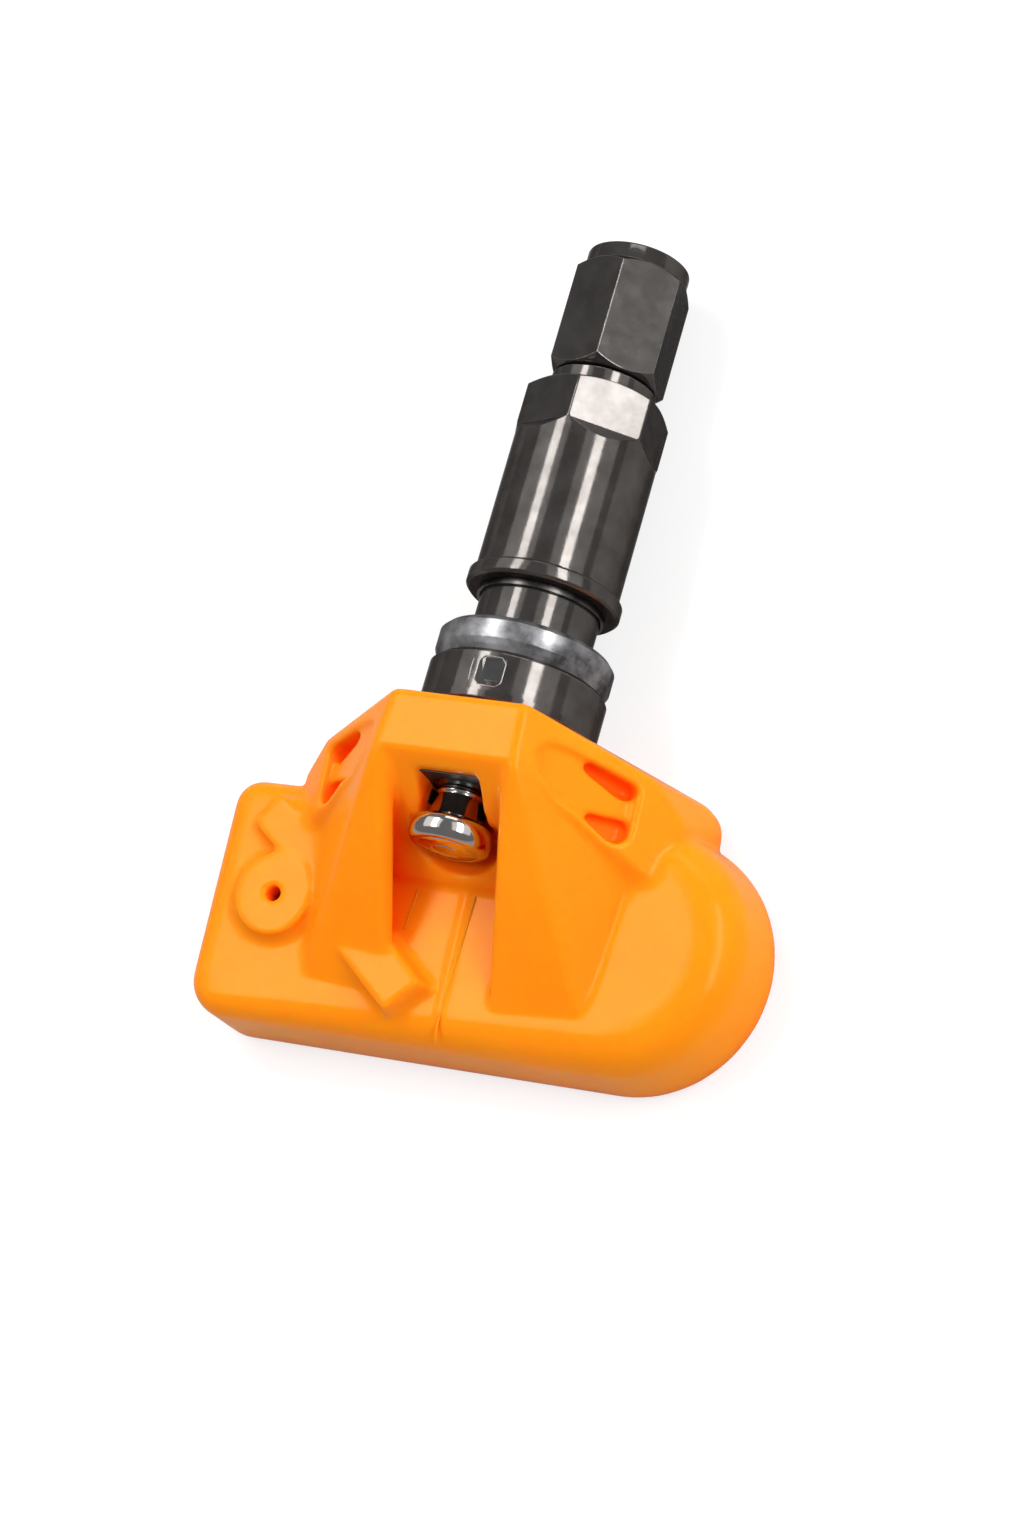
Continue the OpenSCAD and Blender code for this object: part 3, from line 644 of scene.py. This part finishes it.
def anodised(name, lo, hi, wear, gloss):
    """Satin metal, mottled between two colours, with turning marks and bright worn edges."""
    m, nt, b = material(name)
    v = coords(nt)
    rings = coords(nt, scale=(40, 5200, 40), rotation=(PITCH, 0, 0))
    rounded, edge = soft_edges(nt, 0.00014)
    body = ramp(nt, noise(nt, v, 420, 5), [(0.35, lo), (0.7, hi)])
    chips = math_node(nt, "MULTIPLY", edge, span(nt, noise(nt, v, 2200, 5, 0.7), 0.1, wear, 0.38, 0.6))
    nt.links.new(mix_colour(nt, chips, body, (0.62, 0.59, 0.56)), b.inputs["Base Color"])
    b.inputs["Metallic"].default_value = 0.8
    b.inputs["Specular Tint"].default_value = (0.22, 0.20, 0.19, 1)
    rough = span(nt, noise(nt, v, 700, 5), *gloss)
    specks = span(nt, noise(nt, v, 3600, 4, 0.75), 0.0, 0.14, 0.58, 0.72)
    nt.links.new(math_node(nt, "ADD", rough, specks), b.inputs["Roughness"])
    n1 = bump(nt, b, noise(nt, rings, 1, 2), 0.03, 0.00005, rounded)
    bump(nt, b, noise(nt, v, 3200, 2), 0.05, 0.00006, n1)
    return m


def rubber(name, lo, hi, scale=420, rough=(0.42, 0.62)):
    m, nt, b = material(name)
    v = coords(nt)
    rounded, _ = soft_edges(nt, 0.0002)
    nt.links.new(ramp(nt, noise(nt, v, scale, 6, 0.7), [(0.32, lo), (0.72, hi)]), b.inputs["Base Color"])
    nt.links.new(span(nt, noise(nt, v, 900, 4), *rough), b.inputs["Roughness"])
    bump(nt, b, noise(nt, v, 1800, 4), 0.14, 0.0001, rounded)
    return m


def metal(name, base, rough, streak=0.0, grain=0.03):
    m, nt, b = material(name)
    v = coords(nt)
    rounded, _ = soft_edges(nt, 0.00012)
    dark = tuple(c * 0.9 for c in base)
    nt.links.new(ramp(nt, noise(nt, v, 300, 4), [(0.3, dark), (0.7, base)]), b.inputs["Base Color"])
    b.inputs["Metallic"].default_value = 1
    nt.links.new(span(nt, noise(nt, v, 800, 4), rough * 0.75, rough * 1.35), b.inputs["Roughness"])
    n1 = bump(nt, b, noise(nt, v, 2400, 2), grain, 0.00005, rounded)
    if streak:
        rings = coords(nt, scale=(30, 6000, 30), rotation=(PITCH, 0, 0))
        bump(nt, b, noise(nt, rings, 1, 2), streak, 0.00005, n1)
    return m


def plain(name, base, rough):
    m, nt, b = material(name)
    v = coords(nt)
    dark = tuple(c * 0.8 for c in base)
    nt.links.new(ramp(nt, noise(nt, v, 500, 4), [(0.3, dark), (0.7, base)]), b.inputs["Base Color"])
    nt.links.new(span(nt, noise(nt, v, 900, 3), rough * 0.85, rough * 1.15), b.inputs["Roughness"])
    bump(nt, b, noise(nt, v, 1500, 3), 0.05, 0.0001)
    return m


mats = {
    "housing": plastic_orange(),
    "board": plain("board_green", (0.02, 0.12, 0.045), 0.45),
    "chip": plain("chip_black", (0.02, 0.02, 0.022), 0.5),
    "anodised": anodised("black_anodised", (0.085, 0.078, 0.073), (0.125, 0.116, 0.110), 0.75, (0.07, 0.14)),
    "nickel": metal("polished_nickel", (0.56, 0.53, 0.51), 0.10, 0.02),
    "steel": metal("bright_steel", (0.62, 0.62, 0.63), 0.28, 0.05),
    "brass": metal("turned_brass", (0.70, 0.50, 0.22), 0.25, 0.05),
    "rubber": anodised("seal_rubber", (0.09, 0.09, 0.095), (0.40, 0.40, 0.41), 0.6, (0.24, 0.38)),
    "dark_rubber": rubber("dark_rubber", (0.012, 0.012, 0.012), (0.03, 0.03, 0.03)),
    "silicone": rubber("grey_silicone", (0.20, 0.22, 0.24), (0.30, 0.32, 0.34)),
    "packing": rubber("red_packing", (0.30, 0.02, 0.015), (0.42, 0.03, 0.02)),
    "copper": metal("enamelled_copper", (0.60, 0.24, 0.10), 0.3),
    "ferrite": plain("ferrite", (0.03, 0.03, 0.034), 0.6),
    "ceramic": plain("ceramic", (0.40, 0.27, 0.14), 0.5),
}
slot_of = {s["node"]: s["material_slot"] for s in frame["record"]["subparts"]}
for name, ob in frame["nodes"].items():
    ob.data.materials.clear()
    ob.data.materials.append(mats[slot_of[name]])
slip = frame["nodes"]["slip_ring"].data
slip.materials.clear()
# Dark steel: the slip ring's own dark finish, and on the screw's ball painted shade
dark_steel_and_shade = metal("dark_steel_and_shade", (0.09, 0.085, 0.08), 0.22, 0.05)
slip.materials.append(dark_steel_and_shade)
for ob in (shell, *trim):
    ob.data.materials.append(mats["housing"])
for ob in (nut, cap):
    ob.data.materials.clear()
    ob.data.materials.append(mats["anodised"])
for ob in (recess_edge, scratch):
    ob.data.materials.append(metal("chipped_edge", (0.55, 0.53, 0.51), 0.3))
screw_head.data.materials.append(mats["nickel"])
# Painted shade: the screw's ball is dark steel where its head is nickel
screw_ball.data.materials.append(dark_steel_and_shade)
for ob in dark_shade_pieces:
    # Painted shade: near-black for the hollow round the screw's ball
    ob.data.materials.append(plain("painted_shade_black", (0.014, 0.010, 0.008), 0.45))
# Painted shade: the plate over the recess is near-black
recess.data.materials.append(plain("recess_painted_shade", (0.006, 0.006, 0.006), 0.6))

# Studio: pale floor, dim surround, two softboxes, each a bright core in a wide soft frame, and a far panel.
# The floor is darker to the camera than to the light that it throws back, and glows faintly in mirrors.
FLOOR_COLOUR, FLOOR_BOUNCE = 0.33, 0.9
FLOOR_LIFT, FLOOR_MIRRORED = 0.68, 0.07
WORLD_FILL, WORLD_MIRRORED = 0.34, 0.22


def floor_white():
    m, nt, b = material("floor_white")
    b.inputs["Roughness"].default_value = 0.6
    b.inputs["Specular IOR Level"].default_value = 0.2
    glow = nt.nodes.new("ShaderNodeEmission")
    path = nt.nodes.new("ShaderNodeLightPath")
    colour = span(nt, path.outputs["Is Diffuse Ray"], FLOOR_COLOUR, FLOOR_BOUNCE, 0, 1)
    nt.links.new(colour, b.inputs["Base Color"])
    mirrored = math_node(nt, "MULTIPLY", path.outputs["Is Glossy Ray"], FLOOR_MIRRORED)
    seen = math_node(nt, "MAXIMUM", path.outputs["Is Camera Ray"],
                     math_node(nt, "MAXIMUM", mirrored, path.outputs["Is Transmission Ray"]))
    both = nt.nodes.new("ShaderNodeAddShader")
    nt.links.new(math_node(nt, "MULTIPLY", seen, FLOOR_LIFT), glow.inputs["Strength"])
    nt.links.new(b.outputs["BSDF"], both.inputs[0])
    nt.links.new(glow.outputs["Emission"], both.inputs[1])
    nt.links.new(both.outputs["Shader"], nt.nodes["Material Output"].inputs["Surface"])
    return m


bpy.ops.mesh.primitive_plane_add(size=3, location=(0, 0, cad_box[0][2]))
floor = bpy.context.object
floor.name = "floor"
floor.data.materials.append(floor_white())

world = bpy.data.worlds.new("world")
scene.world = world
world.use_nodes = True
surround = world.node_tree.nodes["Background"]
surround.inputs["Color"].default_value = (1, 1, 1, 1)
world_path = world.node_tree.nodes.new("ShaderNodeLightPath")
fill = span(world.node_tree, world_path.outputs["Is Glossy Ray"], WORLD_FILL, WORLD_MIRRORED, 0, 1)
world.node_tree.links.new(fill, surround.inputs["Strength"])


def softbox(name, angle, width, radiance, distance, length=0.55, forward=0.22):
    """A panel over the valve: its angle from straight up toward +X, and its width, both in degrees."""
    a = math.radians(angle)
    d = Vector((math.sin(a), forward, math.cos(a))).normalized()
    light = bpy.data.lights.new(name, "AREA")
    light.shape = "RECTANGLE"
    light.size, light.size_y = 2 * distance * math.tan(math.radians(width / 2)), length
    light.energy = 4 * radiance * light.size * light.size_y
    ob = bpy.data.objects.new(name, light)
    scene.collection.objects.link(ob)
    x = Vector((0, 1, 0)).cross(d).normalized()
    rot = Matrix((x, d.cross(x), d)).transposed().to_4x4()
    ob.matrix_world = Matrix.Translation(d * distance) @ rot


softbox("core_left", -26, 13, 6.2, 0.60)
softbox("frame_left", -34, 48, 0.75, 0.70, 0.65)
softbox("core_right", 44.5, 14, 7.0, 0.60)
softbox("frame_right", 49, 52, 0.6, 0.70, 0.65)
softbox("panel_far", 12, 26, 2.0, 0.65, 0.16, 1.6)
